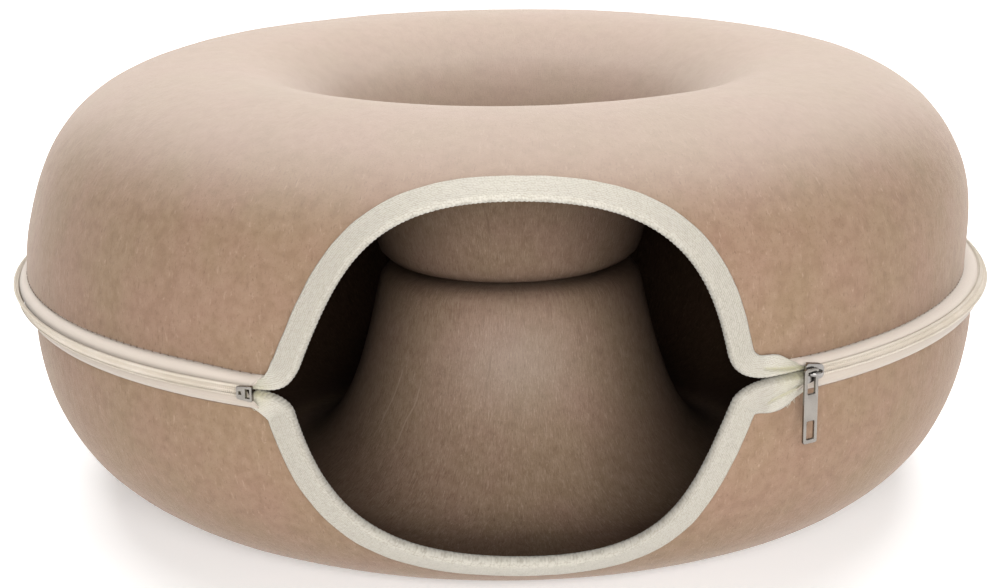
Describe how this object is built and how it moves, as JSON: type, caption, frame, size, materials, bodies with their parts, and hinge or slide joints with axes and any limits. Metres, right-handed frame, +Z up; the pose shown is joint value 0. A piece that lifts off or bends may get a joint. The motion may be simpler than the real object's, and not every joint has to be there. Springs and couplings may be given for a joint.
{
  "type": "donut cat tunnel",
  "caption": "Round felt pet tunnel: a hollow ring in an upper and a lower moulded shell, zipped together round the rim, with a bound arched entrance and a closed bowl in the middle.",
  "frame": {"origin": "on the floor, at the middle of the object's footprint box; the ring's own axis stands 11.3 mm in front of it and 1.3 mm to the right", "axes": "+Z up along the ring's axis, -Y out through the entrance, +X to the right as seen facing the entrance"},
  "size_m": [0.4996, 0.4764, 0.216],
  "materials": {
    "felt": "matte needle felt, beige with paler and darker fibres",
    "binding": "ivory woven binding tape",
    "zip_tape": "cream woven zip tape",
    "zip_coil": "cream nylon coil",
    "slider_metal": "dark plated zinc, satin",
    "puller_metal": "plated zinc, polished"
  },
  "bodies": {
    "root": {"upper_shell": "felt", "lower_shell": "felt", "upper_binding": "binding", "lower_binding": "binding", "zip_tape_upper": "zip_tape", "zip_tape_lower": "zip_tape", "zip_coil_upper": "zip_coil", "zip_coil_lower": "zip_coil", "zip_slider": "slider_metal", "zip_puller": "puller_metal", "zip_end_box": "puller_metal"}
  },
  "joints": []
}
